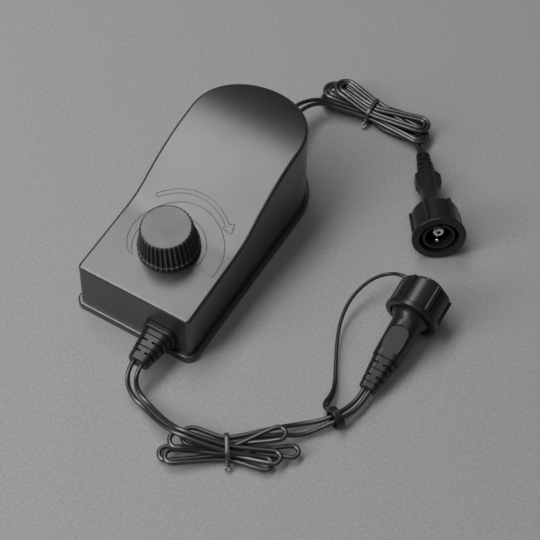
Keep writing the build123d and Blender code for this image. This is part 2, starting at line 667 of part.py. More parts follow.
def make_tether():
    cap = laid(SOCKET_TAIL, SOCKET_PLAN, SOCKET_TILT)
    height = CAP_END + 1.2
    loop = Plane(LOOP_SPOT, x_dir=(-0.886, 0.463, 0), z_dir=(0.463, 0.886, 0))
    lug_end = LOOP_R + 1.5
    spots = [(cap * Pos(9.9, 0, height)).position, (cap * Pos(14.5, 0, height)).position,
             Vector(89.0, 19.8, 12.6), Vector(83.6, 15.0, 11.5), Vector(79.8, 7.2, 9.5),
             Vector(78.3, -2.6, 7.2), Vector(80.2, -13.5, 4.8), Vector(84.2, -24.2, 3.0),
             Vector(88.5, -34.0, 1.8), Vector(92.2, -42.5, 1.8), Vector(93.3, -49.0, 3.4),
             (loop * Pos(lug_end + 2.4, 0, 0)).position, (loop * Pos(lug_end, 0, 0)).position]
    path = FilletPolyline(*spots, radius=corner_radii(spots))
    print("tether length", round(path.length, 1))
    keep("cap_tether", sweep((path ^ 0) * Circle(STRAP_R), path=path))
    band = extrude(Circle(LOOP_R) - Circle(LOOP_R - 1.4), amount=1.8, both=True)
    band = fillet(band.edges(), 0.4)
    lug = Pos(lug_end - 1.2, 0, 0) * Box(2.4, 2.6, 3.0)
    keep("tether_loop", loop * (band + lug))


keep("upper_shell", make_upper_shell())
keep("base_plate", make_base_plate())
keep("base_screws", *make_base_screws())
keep("knob", make_knob())
make_pot()
make_circuit()
make_reliefs()
make_inner_leads()
make_cord("input", input_wire)
make_cord("output", output_wire)
make_tie("input_tie", IN_CENTRE, IN_ANGLE, -1.0, 0.0, 10.7, 13.3)
make_tie("output_tie", OUT_CENTRE, OUT_ANGLE, -2.0, 1.4, 8.0, 14.2)
make_plug()
make_socket()
make_tether()
print(len(CHUNKS), "nodes")
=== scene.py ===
import math

import bpy
from bpy.props import FloatProperty, FloatVectorProperty, PointerProperty
from mathutils import Matrix, Vector


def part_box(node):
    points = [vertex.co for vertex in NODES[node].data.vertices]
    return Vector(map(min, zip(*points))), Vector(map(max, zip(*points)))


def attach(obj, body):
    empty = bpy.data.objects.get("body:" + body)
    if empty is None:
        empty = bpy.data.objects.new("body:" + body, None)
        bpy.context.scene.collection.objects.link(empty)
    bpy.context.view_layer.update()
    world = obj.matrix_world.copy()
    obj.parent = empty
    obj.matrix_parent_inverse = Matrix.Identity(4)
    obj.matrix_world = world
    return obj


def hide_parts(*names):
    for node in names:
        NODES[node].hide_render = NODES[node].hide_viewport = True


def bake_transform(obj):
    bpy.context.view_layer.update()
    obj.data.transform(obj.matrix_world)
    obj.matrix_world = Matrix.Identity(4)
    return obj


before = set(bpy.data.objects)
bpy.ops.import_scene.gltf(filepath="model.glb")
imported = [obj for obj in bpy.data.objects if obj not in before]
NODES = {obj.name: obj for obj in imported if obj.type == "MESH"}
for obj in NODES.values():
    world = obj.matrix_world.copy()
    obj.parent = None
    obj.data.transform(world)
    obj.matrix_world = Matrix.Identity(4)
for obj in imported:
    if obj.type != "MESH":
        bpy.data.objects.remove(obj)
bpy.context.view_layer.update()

bl_info = {
    "name": "Light dimmer",
    "version": (1, 0, 0),
    "blender": (4, 5, 0),
    "location": "View3D > Sidebar > Dimmer",
    "description": "Cords, ties, marks and finishes of an in-line light dimmer",
    "category": "Object",
}

# The strain reliefs' tips and the heights of their middles, taken from the frame, in metres
out_low, out_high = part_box("output_strain_relief")
in_low, in_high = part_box("input_strain_relief")
OUT_RELIEF_X = (out_low.x + out_high.x) / 2
OUT_RELIEF_Z = (out_low.z + out_high.z) / 2
OUT_TIP_Y = out_low.y
IN_RELIEF_Z = (in_low.z + in_high.z) / 2
IN_TIP_Y = in_high.y

# Sizes of the cords, the connectors' places and the strap's loop on the cord, as in the part's source.
# A connector has its tail, its heading on the floor and its tilt.
WIRE_R = 0.0011
PITCH = 0.00275
HALF_PITCH = PITCH / 2
HALF_TIP = 0.0021
PLUG_TAIL = (0.0667, 0.1, 0.00505)
PLUG_PLAN = (0.546, -0.838)
PLUG_TILT = math.radians(8.3)
SOCKET_TAIL = (0.1078, -0.0383, 0.0056)
SOCKET_PLAN = (0.018, 0.9998)
SOCKET_TILT = math.radians(10.6)
LOOP_SPOT = (0.1027, -0.0581, 0.0053)
LOOP_AWAY = Vector((-0.886, 0.463, 0.0))

# Foot of the knob's axis, its lean, the number of its ribs and the radius of its smooth face
KNOB_CENTRE = (0.0, -0.0335)
KNOB_Z = 0.0319
KNOB_TILT = math.radians(5.5)
KNOB_RIBS = 36
KNOB_FACE_R = 0.0114

# How far a regular eight-sided ring's corners lie beside its middle, as a share of half its width
BEND = math.tan(math.radians(22.5))


# Helpers for objects

# The finishes by name, which the first operator makes
MATERIALS = {}


def deselect():
    bpy.ops.object.select_all(action="DESELECT")


def only(obj):
    """Makes obj the active and only selected object."""
    deselect()
    obj.select_set(True)
    bpy.context.view_layer.objects.active = obj


def dress(obj, name, finish, body="housing"):
    """Names a piece, gives it its finish and its slot, and lets it ride a body."""
    obj.name = name
    obj.data.name = name
    obj.data.materials.clear()
    obj.data.materials.append(MATERIALS[finish])
    if body:
        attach(obj, body)


def curve_object(name, points, radius, radii=None, order=3):
    """An open NURBS curve by control points. Its points carry the real radius, which its box counts in."""
    curve = bpy.data.curves.new(name, "CURVE")
    curve.dimensions = "3D"
    curve.bevel_depth = 1.0
    curve.bevel_resolution = 4
    curve.use_fill_caps = True
    curve.resolution_u = 5
    spline = curve.splines.new("NURBS")
    spline.points.add(len(points) - 1)
    for i, spot in enumerate(points):
        spline.points[i].co = (spot[0], spot[1], spot[2], 1.0)
        spline.points[i].radius = radius * radii[i] if radii else radius
    spline.order_u = order
    spline.use_endpoint_u = True
    obj = bpy.data.objects.new(name, curve)
    bpy.context.scene.collection.objects.link(obj)
    return obj


def to_mesh(obj):
    """Turns a curve object into a clean mesh with its normals outward."""
    only(obj)
    bpy.ops.object.convert(target="MESH")
    bpy.ops.object.mode_set(mode="EDIT")
    bpy.ops.mesh.select_all(action="SELECT")
    bpy.ops.mesh.remove_doubles(threshold=0.00001)
    bpy.ops.mesh.normals_make_consistent(inside=False)
    bpy.ops.object.mode_set(mode="OBJECT")
    bpy.ops.object.shade_smooth_by_angle(angle=math.radians(40))
    return bpy.context.view_layer.objects.active


# Materials


class Value:
    """One output socket of a shader node. Sums and products of these make the nodes that work them out."""

    def __init__(self, shader, socket):
        self.shader = shader
        self.socket = socket

    def worked(self, operation, other):
        return self.shader.node("ShaderNodeMath", {0: self, 1: other}, operation=operation)

    def __add__(self, other):
        return self.worked("ADD", other)

    __radd__ = __add__

    def __sub__(self, other):
        return self.worked("SUBTRACT", other)

    def __rsub__(self, other):
        return self.worked("MULTIPLY", -1.0) + other

    def __mul__(self, other):
        return self.worked("MULTIPLY", other)

    __rmul__ = __mul__

    def held(self):
        """The value kept between 0 and 1."""
        return self.shader.node("ShaderNodeClamp", {0: self})


def spread(value, low, high):
    """Value from 0 to 1 spread between low and high."""
    return value * (high - low) + low


def toned(colour, share):
    """A colour made darker or brighter by a share."""
    return [c * share for c in colour]


def opaque(colour):
    """A plain colour with its alpha, and a mixed one as it is."""
    return colour if isinstance(colour, Value) else tuple(colour) + (1.0,)


class Shader:
    """A material with one Principled shader."""

    def __init__(self, name, colour, roughness, metallic=0.0, coat=0.0, specular=0.5):
        self.material = bpy.data.materials.new(name)
        self.material.use_nodes = True
        self.tree = self.material.node_tree
        self.shell = self.tree.nodes["Principled BSDF"]
        self.set("Base Color", opaque(colour))
        self.set("Roughness", roughness)
        self.set("Metallic", metallic)
        self.set("Coat Weight", coat)
        self.set("Specular IOR Level", specular)
        self.place = self.node("ShaderNodeTexCoord", {}, output="Object")

    def set(self, name, value):
        if isinstance(value, Value):
            self.tree.links.new(value.socket, self.shell.inputs[name])
        else:
            self.shell.inputs[name].default_value = value

    def node(self, kind, inputs, output=0, **settings):
        made = self.tree.nodes.new(kind)
        for key, setting in settings.items():
            setattr(made, key, setting)
        for key, value in inputs.items():
            if isinstance(value, Value):
                self.tree.links.new(value.socket, made.inputs[key])
            else:
                made.inputs[key].default_value = value
        return Value(self, made.outputs[output])

    def noise(self, scale, detail=3.0, rough=0.5, stretch=None):
        place = self.place
        if stretch:
            place = self.node("ShaderNodeMapping", {"Vector": place, "Scale": stretch})
        inputs = {"Vector": place, "Scale": scale, "Detail": detail, "Roughness": rough}
        return self.node("ShaderNodeTexNoise", inputs)

    def mix(self, share, one, two):
        """Colour one where share is 0, two where it is 1."""
        inputs = {0: share, 6: opaque(one), 7: opaque(two)}
        return self.node("ShaderNodeMix", inputs, output=2, data_type="RGBA")

    def bump(self, height, distance, strength=1.0):
        made = self.node("ShaderNodeBump", {"Height": height, "Distance": distance, "Strength": strength})
        self.set("Normal", made)


def moulded(name, colour, roughness, grain=2600.0, depth=0.000012, specular=0.5, coat=0.0):
    """Spark-textured moulded plastic with faint handling wear."""
    shader = Shader(name, colour, roughness, specular=specular, coat=coat)
    shader.set("Coat Roughness", roughness)
    fine = shader.noise(grain, 4.0, 0.6)
    cloud = shader.noise(60.0, 2.0, 0.5)
    shader.set("Roughness", spread(cloud, roughness - 0.04, roughness + 0.04) + (fine - 0.5) * 0.06)
    shader.set("Base Color", shader.mix(cloud, toned(colour, 0.86), toned(colour, 1.12)))
    shader.bump(fine, depth)
    return shader.material


def ribbed(name, colour, roughness):
    """Knob plastic with painted light: dull and darkened between the ribs as painted shade, brightened along
    their crests as a painted highlight, plain on the face.
    """
    shader = Shader(name, colour, roughness, coat=0.15, specular=0.75)
    fine = shader.noise(3600.0, 4.0, 0.6)
    cloud = shader.noise(110.0, 3.0, 0.6)
    x, y, z = [shader.node("ShaderNodeSeparateXYZ", {0: shader.place}, output=axis) for axis in "XYZ"]
    lean = y - KNOB_CENTRE[1] + (z - KNOB_Z) * math.tan(KNOB_TILT)
    wave = (lean.worked("ARCTAN2", x) * KNOB_RIBS).worked("COSINE", 0.0)
    radius = (x * x + lean * lean).worked("SQRT", 0.0)
    outside = ((radius - KNOB_FACE_R) * 4000.0).held()
    # Painted shade: the colour is darkened in the grooves between the ribs, which are also made rougher.
    groove_shade_mask = (0.55 - wave * 0.8).held() * outside
    crest_highlight_mask = (wave * 1.4 - 0.4).held() * outside
    # Painted highlight: the colour is brightened fivefold along the rib crests.
    crest_highlight_colour = shader.mix(crest_highlight_mask, colour, toned(colour, 5.0))
    shader.set("Base Color", shader.mix(groove_shade_mask, crest_highlight_colour, toned(colour, 0.15)))
    shader.set("Roughness", spread(cloud, roughness - 0.06, roughness + 0.1) + groove_shade_mask * 0.35)
    shader.bump(fine * 0.03 + wave * outside * 0.5, 0.0004)
    return shader.material


def soft_rubber(name, colour, roughness):
    """Soft overmould with a fine skin."""
    shader = Shader(name, colour, roughness, specular=0.38)
    skin = shader.noise(4200.0, 3.0, 0.5)
    cloud = shader.noise(180.0, 3.0, 0.5)
    shader.set("Roughness", spread(cloud, roughness - 0.1, roughness + 0.08))
    shader.set("Base Color", shader.mix(cloud, toned(colour, 0.8), toned(colour, 1.25)))
    shader.bump(skin + cloud * 0.5, 0.00002)
    return shader.material


def jacket(name, colour, roughness):
    """Extruded wire jacket: glossy and a little uneven."""
    shader = Shader(name, colour, roughness, coat=0.35, specular=0.75)
    shader.set("Coat Roughness", roughness)
    wave = shader.noise(260.0, 2.0, 0.5)
    fine = shader.noise(3000.0, 2.0, 0.5)
    shader.set("Roughness", spread(wave, roughness - 0.05, roughness + 0.12))
    shader.set("Base Color", shader.mix(fine, colour, toned(colour, 1.4)))
    shader.bump(wave + fine * 0.1, 0.00004)
    return shader.material


def metal(name, colour, roughness, scratch=900.0):
    """Plated or drawn metal with fine lines across its length."""
    shader = Shader(name, colour, roughness, metallic=1.0)
    lines = shader.noise(scratch, 3.0, 0.6, stretch=(1.0, 1.0, 8.0))
    shader.set("Roughness", spread(lines, roughness - 0.05, roughness + 0.12))
    shader.set("Base Color", shader.mix(lines, toned(colour, 0.9), colour))
    shader.bump(lines, 0.00001)
    return shader.material


def board_mask(name):
    """Solder mask over copper tracks."""
    shader = Shader(name, (0.02, 0.16, 0.05), 0.35)
    inputs = {"Vector": shader.place, "Scale": 120.0, "Mortar Size": 0.06}
    tracks = shader.node("ShaderNodeTexBrick", inputs, output="Fac")
    grain = shader.noise(800.0)
    shader.set("Base Color", shader.mix(tracks, (0.015, 0.12, 0.04), (0.03, 0.2, 0.07)))
    shader.set("Roughness", spread(grain, 0.3, 0.42))
    shader.bump(tracks + grain * 0.1, 0.00003)
    return shader.material


def paper(name, colour):
    """Seamless paper floor."""
    shader = Shader(name, colour, 0.85, specular=0.15)
    fibre = shader.noise(700.0, 5.0, 0.7)
    shader.set("Base Color", shader.mix(fibre, toned(colour, 0.65), toned(colour, 1.35)))
    shader.bump(fibre, 0.0001, 0.3)
    return shader.material


# The CAD nodes of each finish
CAD_FINISH = {
    "shell_plastic": ["upper_shell"],
    "base_plastic": ["base_plate"],
    "knob_plastic": ["knob"],
    "soft_black": ["output_strain_relief", "input_strain_relief", "plug_body", "plug_seal", "socket_body",
                   "cap_gasket", "cap_swivel_ring", "tether_loop", "cap_tether"],
    "connector_plastic": ["coupling_ring", "plug_shroud", "plug_insulator", "socket_insulator", "screw_cap"],
    "contact_metal": ["plug_sleeve_contact", "plug_pin_contact", "socket_contact"],
    "steel": ["base_screws", "board_screws", "pot_body", "pot_shaft", "pot_nut", "pot_washer"],
    "board": ["circuit_board"],
    "chip_plastic": ["power_transistor", "control_chip", "resistor_row"],
    "sink_metal": ["heat_sink"],
    "can_metal": ["electrolytic_capacitor"],
    "ferrite": ["choke"],
    "terminal_plastic": ["terminal_blocks"],
    "wire_jacket": ["output_inner_leads", "input_inner_leads"],
}


class DimmerLook(bpy.types.PropertyGroup):
    shell_colour: FloatVectorProperty(name="Housing colour", description="Colour of the housing and knob",
                                      subtype="COLOR", size=3, default=(0.012, 0.012, 0.013))
    wire_colour: FloatVectorProperty(name="Wire colour", description="Colour of the wires' jackets",
                                     subtype="COLOR", size=3, default=(0.012, 0.012, 0.013))
    floor_colour: FloatVectorProperty(name="Floor colour", description="Colour of the paper floor",
                                      subtype="COLOR", size=3, default=(0.29, 0.29, 0.29))


class DimmerSizes(bpy.types.PropertyGroup):
    mark_width: FloatProperty(name="Mark width", description="Width of the raised lines on the top",
                              default=0.00032, unit="LENGTH")
    mark_radius: FloatProperty(name="Arrow radius", description="Radius of the arrow round the knob",
                               default=0.0281, unit="LENGTH")
    strap_radius: FloatProperty(name="Strap radius", description="Half the thickness of the cap's strap",
                                default=0.00085, unit="LENGTH")


class DIMMER_OT_finishes(bpy.types.Operator):
    """Make the materials and give each CAD node its own"""

    bl_idname = "dimmer.finishes"
    bl_label = "Finishes"

    def execute(self, context):
        look = context.scene.dimmer_look
        black = list(look.shell_colour)
        wire_black = list(look.wire_colour)
        fitting_black = toned(black, 0.9)
        MATERIALS.update({
            "shell_plastic": moulded("shell_plastic", black, 0.35, specular=0.85, coat=0.4),
            "base_plastic": moulded("base_plastic", black, 0.35, specular=0.85, coat=0.4),
            "knob_plastic": ribbed("knob_plastic", black, 0.36),
            "soft_black": soft_rubber("soft_black", fitting_black, 0.34),
            "connector_plastic": moulded("connector_plastic", fitting_black, 0.3, grain=3400.0,
                                         specular=0.42),
            "wire_jacket": jacket("wire_jacket", wire_black, 0.28),
            "tie_plastic": jacket("tie_plastic", toned(wire_black, 2.5), 0.3),
            "tie_core": metal("tie_core", (0.3, 0.3, 0.3), 0.3),
            "contact_metal": metal("contact_metal", (0.93, 0.92, 0.9), 0.22),
            "steel": metal("steel", (0.55, 0.55, 0.55), 0.35),
            "board": board_mask("board"),
            "chip_plastic": moulded("chip_plastic", (0.02, 0.02, 0.02), 0.6),
            "sink_metal": metal("sink_metal", (0.7, 0.7, 0.72), 0.4),
            "can_metal": moulded("can_metal", (0.03, 0.03, 0.12), 0.35),
            "ferrite": moulded("ferrite", (0.03, 0.03, 0.03), 0.7, grain=1500.0),
            "terminal_plastic": moulded("terminal_plastic", (0.02, 0.2, 0.06), 0.4),
        })
        for slot, nodes in CAD_FINISH.items():
            for node in nodes:
                data = NODES[node].data
                data.materials.clear()
                data.materials.append(MATERIALS[slot])
        return {"FINISHED"}


# Cords: each is two wires side by side. A route point is x, y, z and half the distance between the wires.


def offset_route(route, side):
    """One wire's points beside the middle of the route; side is -1 on the right, +1 on the left."""
    headings = [math.atan2(b[1] - a[1], b[0] - a[0]) for a, b in zip(route, route[1:])]
    wire = []
    for i, (x, y, z, half) in enumerate(route):
        one = headings[max(i - 1, 0)]
        two = headings[min(i, len(headings) - 1)]
        turn = math.remainder(two - one, 2 * math.pi)
        across = one + turn / 2 + math.pi / 2
        reach = side * half / math.cos(turn / 2)
        wire.append(Vector((x + reach * math.cos(across), y + reach * math.sin(across), z)))
    return wire


def behind(tail, plan, tilt, distance):
    """The point straight behind a connector's tail, on its axis."""
    flat = math.hypot(plan[0], plan[1])
    back = distance * math.cos(tilt) / flat
    return (tail[0] - back * plan[0], tail[1] - back * plan[1], tail[2] - distance * math.sin(tilt))


def hank_point(centre, angle, u, v, z):
    """The place of a point that lies u along a hank, v across it and z above the floor."""
    turn = math.radians(angle)
    return Vector((centre[0] + u * math.cos(turn) - v * math.sin(turn),
                   centre[1] + u * math.sin(turn) + v * math.cos(turn), z))


# How far out along a run the wire starts to open into its loop, as a share of the run
LOBE_EASE = 0.6


def lobe(before, tip, after, half, turn):
    """Eight points round a hank's free end: from the waist at before, round tip, to the waist at after."""
    outward = tip - (before + after) / 2
    outward.z = 0.0
    outward.normalize()
    across = Vector((-outward.y, outward.x, 0.0)) * turn
    centre = tip - outward * half
    ring = [centre + outward * (half * c) + across * (half * s)
            for c, s in ((-BEND, -1), (BEND, -1), (1, -BEND), (1, BEND), (BEND, 1), (-BEND, 1))]
    return [before.lerp(ring[0], LOBE_EASE)] + ring + [after.lerp(ring[-1], LOBE_EASE)]


def wound(centre, angle, waists, tips, halves, turn):
    """A wire's points round its hank: waist, free end, waist and so on, each in the hank's own u, v and z.

    turn is 1 where the hank is wound to the left and -1 where it is wound to the right.
    """
    middle = [hank_point(centre, angle, *spot) for spot in waists]
    ends = [hank_point(centre, angle, *spot) for spot in tips]
    points = [middle[0]]
    for before, tip, after, half in zip(middle, ends, middle[1:], halves):
        points += lobe(before, tip, after, half, turn) + [after]
    return points


# The input cord's hank. Each wire has its v and z at the tie, run by run. The free ends, right and left in
# turn, have their u, v and z and half their loop's width; wire b lies inside wire a round each.
IN_CENTRE = (0.031, 0.114)
IN_ANGLE = 2.5
IN_WAIST = -0.001
UNDER = 0.0021
IN_RUNS = {
    "a": [(-0.0053, 0.0044), (0.0053, 0.0066), (-0.0053, 0.0066), (0.0011, 0.0066), (-0.0011, 0.0044),
          (0.0053, 0.0044), (-0.0019, UNDER)],
    "b": [(-0.0032, 0.0044), (0.0032, 0.0066), (-0.0032, 0.0066), (-0.0011, 0.0066), (0.0011, 0.0044),
          (0.0032, 0.0044), (0.0008, UNDER)],
}
IN_ENDS = [(0.0322, -0.0050, 0.0052), (-0.0236, 0.0050, 0.0090), (0.0304, 0.0010, 0.0078),
           (-0.0290, 0.0022, 0.0062), (0.0262, 0.0040, 0.0030), (-0.0282, -0.0036, 0.0034)]
IN_HALVES = [0.0050, 0.0054, 0.0050, 0.0055, 0.0050, 0.0054]
INSIDE = {"a": 0.0, "b": 0.0022}


def input_wire(letter, side):
    """The points of one wire of the input cord."""
    lead_in = [(0.0, IN_TIP_Y, IN_RELIEF_Z, HALF_TIP), (0.0, IN_TIP_Y + 0.0055, IN_RELIEF_Z, HALF_TIP),
               (0.005, 0.1015, 0.0095, HALF_PITCH), (0.0155, 0.1056, 0.0066, HALF_PITCH)]
    lead_out = [(0.037, 0.109, UNDER, HALF_PITCH), (0.049, 0.1084, 0.0022, HALF_PITCH),
                (0.0565, 0.1104, 0.003, HALF_PITCH),
                behind(PLUG_TAIL, PLUG_PLAN, PLUG_TILT, 0.0075) + (HALF_PITCH,), PLUG_TAIL + (HALF_PITCH,)]
    waists = [(IN_WAIST, v, z) for v, z in IN_RUNS[letter]]
    inset = INSIDE[letter]
    ends = [(u - math.copysign(inset, u), v, z) for u, v, z in IN_ENDS]
    hank = wound(IN_CENTRE, IN_ANGLE, waists, ends, [half - inset for half in IN_HALVES], 1)
    return offset_route(lead_in, side) + hank + offset_route(lead_out, side)


# The output cord's hank, which the cord first crosses on top. Each wire has its own free ends.
OUT_CENTRE = (0.0714, -0.0949)
OUT_ANGLE = 34.0
OUT_WAIST = -0.002
OUT_OVER = 0.0066
OUT_RUNS = {
    "a": [(-0.0022, OUT_OVER), (-0.0036, 0.0022), (-0.0024, 0.0044), (0.0012, 0.0022), (0.0024, 0.0044)],
    "b": [(0.0004, OUT_OVER), (-0.0012, 0.0022), (0.0, 0.0044), (0.0036, 0.0022), (0.0048, 0.0044)],
}
OUT_ENDS = {
    "a": [(0.0170, -0.0078, 0.0030), (-0.0290, -0.0022, 0.0046), (0.0290, -0.0022, 0.0038),
          (-0.0268, 0.0036, 0.0088)],
    "b": [(0.0208, -0.0060, 0.0054), (-0.0316, 0.0004, 0.0024), (0.0236, 0.0044, 0.0096),
          (-0.0214, 0.0078, 0.0046)],
}
OUT_HALVES = {"a": [0.0030, 0.0033, 0.0028, 0.0040], "b": [0.0031, 0.0034, 0.0031, 0.0042]}


def output_wire(letter, side):
    """The points of one wire of the output cord."""
    lead_in = [(OUT_RELIEF_X, OUT_TIP_Y, OUT_RELIEF_Z, HALF_TIP),
               (OUT_RELIEF_X, OUT_TIP_Y - 0.0045, OUT_RELIEF_Z, HALF_TIP),
               (0.018, -0.093, 0.0048, 0.0017), (0.027, -0.0956, 0.0026, HALF_PITCH),
               (0.041, -0.1013, 0.008, HALF_PITCH)]
    lead_out = [(0.0825, -0.078, 0.005, HALF_PITCH), (0.0915, -0.0704, 0.0024, 0.003),
                (0.0983, -0.0634, 0.0034, 0.0016), LOOP_SPOT + (HALF_PITCH,),
                (0.1063, -0.0506, 0.0044, 0.0016),
                behind(SOCKET_TAIL, SOCKET_PLAN, SOCKET_TILT, 0.0055) + (HALF_PITCH,),
                SOCKET_TAIL + (HALF_PITCH,)]
    over = [hank_point(OUT_CENTRE, OUT_ANGLE, -0.0205, 0.0044 + HALF_PITCH * side, 0.0114)]
    waists = [(OUT_WAIST, v, z) for v, z in OUT_RUNS[letter]]
    hank = wound(OUT_CENTRE, OUT_ANGLE, waists, OUT_ENDS[letter], OUT_HALVES[letter], -1)
    return offset_route(lead_in, side) + over + hank + offset_route(lead_out, side)


def along(obj):
    """Points along a curve's own line, in order."""
    depth = obj.data.bevel_depth
    obj.data.bevel_depth = 0.0
    bpy.context.view_layer.update()
    line = bpy.data.meshes.new_from_object(obj.evaluated_get(bpy.context.evaluated_depsgraph_get()))
    spots = [vertex.co.copy() for vertex in line.vertices]
    bpy.data.meshes.remove(line)
    obj.data.bevel_depth = depth
    return spots


def lay_wire(cord, letter, route):
    """One wire of a cord from its relief to its connector, in place of the three plain tubes."""
    side = -1 if letter == "a" else 1
    spots = route(letter, side)
    wire = curve_object(cord + "_wire_" + letter, spots, WIRE_R)
    dress(wire, cord + "_wire_" + letter, "wire_jacket")
    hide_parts(*[cord + "_" + part + "_" + letter for part in ("lead", "hank", "tail")])
    line = along(wire)


class DIMMER_OT_cords(bpy.types.Operator):
    """Lay the two wires of each cord, with their hanks"""

    bl_idname = "dimmer.cords"
    bl_label = "Cords"

    def execute(self, context):
        for letter in "ab":
            lay_wire("input", letter, input_wire)
            lay_wire("output", letter, output_wire)
        return {"FINISHED"}


# The ties: a band, rounded at its corners by a share of its height, two strands twisted beside it and a
# bare eyelet at their end
TIE_HEIGHT = 0.0092
BAND_WIDE = 0.002
BAND_THICK = 0.0008
BAND_ROUND = 0.38
BAND_EDGE = 0.00025
BAND_LIFT = 0.0001
TWIST_ROOT = 0.0004
TWIST_ROOT_Z = 0.0042
TWIST_TIP_Z = 0.0030
TWIST_REACH = 0.0013
TWIST_TURNS = 1.0
TWIST_STEPS = 18
STRAND_R = 0.0006
EYE_R = 0.0011
EYE_WIRE_R = 0.00045
EYE_POINTS = 12


def flat_band(half_width, height):
    """A flat ribbon round a hank's waist, bevelled from a plain plane, its width along z."""
    deselect()
    bpy.ops.mesh.primitive_plane_add(size=1.0)
    band = bpy.context.active_object
    band.scale = (2 * half_width - BAND_THICK, height - BAND_THICK, 1.0)
    bpy.ops.object.transform_apply(location=False, rotation=False, scale=True)
    bpy.ops.object.mode_set(mode="EDIT")
    bpy.ops.mesh.select_all(action="SELECT")
    bpy.ops.mesh.bevel(offset=BAND_ROUND * height, segments=8, affect="VERTICES")
    bpy.ops.mesh.select_all(action="SELECT")
    bpy.ops.mesh.delete(type="ONLY_FACE")
    bpy.ops.mesh.select_all(action="SELECT")
    bpy.ops.mesh.extrude_region_move(TRANSFORM_OT_translate={"value": (0, 0, BAND_WIDE)})
    bpy.ops.mesh.select_all(action="SELECT")
    bpy.ops.transform.translate(value=(0, 0, -BAND_WIDE / 2))
    bpy.ops.mesh.normals_make_consistent(inside=False)
    bpy.ops.object.mode_set(mode="OBJECT")
    solid = band.modifiers.new("thick", "SOLIDIFY")
    solid.thickness = BAND_THICK
    solid.offset = 0.0
    bpy.ops.object.modifier_apply(modifier="thick")
    soft = band.modifiers.new("soft", "BEVEL")
    soft.width = BAND_EDGE
    soft.segments = 2
    soft.limit_method = "ANGLE"
    bpy.ops.object.modifier_apply(modifier="soft")
    return band


def tie(name, centre, angle, u, v, half_width):
    """A band round a hank's waist, its ends twisted together beside it and closed by an eyelet."""
    band = flat_band(half_width, TIE_HEIGHT)
    spot = hank_point(centre, angle, u, v, TIE_HEIGHT / 2 + BAND_LIFT)
    upright = Matrix(((0, 0, 1), (1, 0, 0), (0, 1, 0))).to_4x4()
    turned = Matrix.Rotation(math.radians(angle), 4, "Z") @ upright
    band.data.transform(Matrix.Translation(spot) @ turned)
    start = hank_point(centre, angle, u, v - half_width + TWIST_ROOT, TWIST_ROOT_Z)
    out = hank_point(centre, angle, u, v - half_width - TWIST_REACH, TWIST_TIP_Z) - start
    across = out.cross(Vector((0, 0, 1))).normalized()
    upward = across.cross(out).normalized()
    strands = [band]
    for half in (0, math.pi):
        spots = []
        for i in range(TWIST_STEPS + 1):
            share = i / TWIST_STEPS
            phase = half + 2 * math.pi * TWIST_TURNS * share
            round_axis = across * math.cos(phase) + upward * math.sin(phase)
            spots.append(start + out * share + round_axis * STRAND_R)
        strands.append(to_mesh(curve_object(name + "_twist", spots, STRAND_R)))
    onward = out.normalized()
    middle = start + out + onward * EYE_R
    ring = []
    for i in range(EYE_POINTS + 2):
        turn = 2 * math.pi * i / EYE_POINTS
        ring.append(middle + (across * math.sin(turn) - onward * math.cos(turn)) * EYE_R)
    eyelet = to_mesh(curve_object(name + "_eyelet", ring, EYE_WIRE_R))
    join(strands)
    dress(band, name + "_band", "tie_plastic")
    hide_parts(name)
    dress(eyelet, name + "_eyelet", "tie_core")


def join(pieces):
    """Joins pieces into the first of them."""
    deselect()
    for piece in pieces:
        piece.select_set(True)
    bpy.context.view_layer.objects.active = pieces[0]
    bpy.ops.object.join()
    bpy.ops.object.shade_smooth_by_angle(angle=math.radians(35))


class DIMMER_OT_ties(bpy.types.Operator):
    """Tie each hank with a twisted band"""

    bl_idname = "dimmer.ties"
    bl_label = "Ties"

    def execute(self, context):
        tie("input_tie", IN_CENTRE, IN_ANGLE, IN_WAIST, 0.0, 0.0073)
        tie("output_tie", OUT_CENTRE, OUT_ANGLE, OUT_WAIST, 0.0006, 0.0066)
        return {"FINISHED"}


def laid(tail, plan, tilt):
    """Frame of a connector: z along its axis, x across it, from its tail."""
    flat = math.hypot(plan[0], plan[1])
    along_axis = Vector((plan[0] / flat * math.cos(tilt), plan[1] / flat * math.cos(tilt), math.sin(tilt)))
    across = Vector((-plan[1] / flat, plan[0] / flat, 0.0))
    up = along_axis.cross(across)
    turned = Matrix((across, up, along_axis)).transposed().to_4x4()
    return Matrix.Translation(Vector(tail)) @ turned


# The strap leaves the lug of the cap's ring and ends in the lug of the loop; its foot widens toward the loop
RING_MIDDLE = 0.0581
RING_LUG = 0.0099
STRAP_STRAIGHT = 0.0145
LOOP_LUG = 0.0067
FOOT_STRAIGHT = 0.0014
ROOT_WIDTHS = [1.25, 1.1]
FOOT_WIDTHS = [1.25, 1.7, 2.2, 2.3]
STRAP_ROUTE = [(0.089, 0.0198, 0.0126), (0.0836, 0.015, 0.0115), (0.0798, 0.0072, 0.0095),
               (0.0783, -0.0026, 0.0072), (0.0802, -0.0135, 0.0048), (0.0846, -0.024, 0.003),
               (0.0895, -0.0336, 0.0018), (0.0937, -0.0418, 0.0018), (0.0954, -0.0482, 0.0034)]


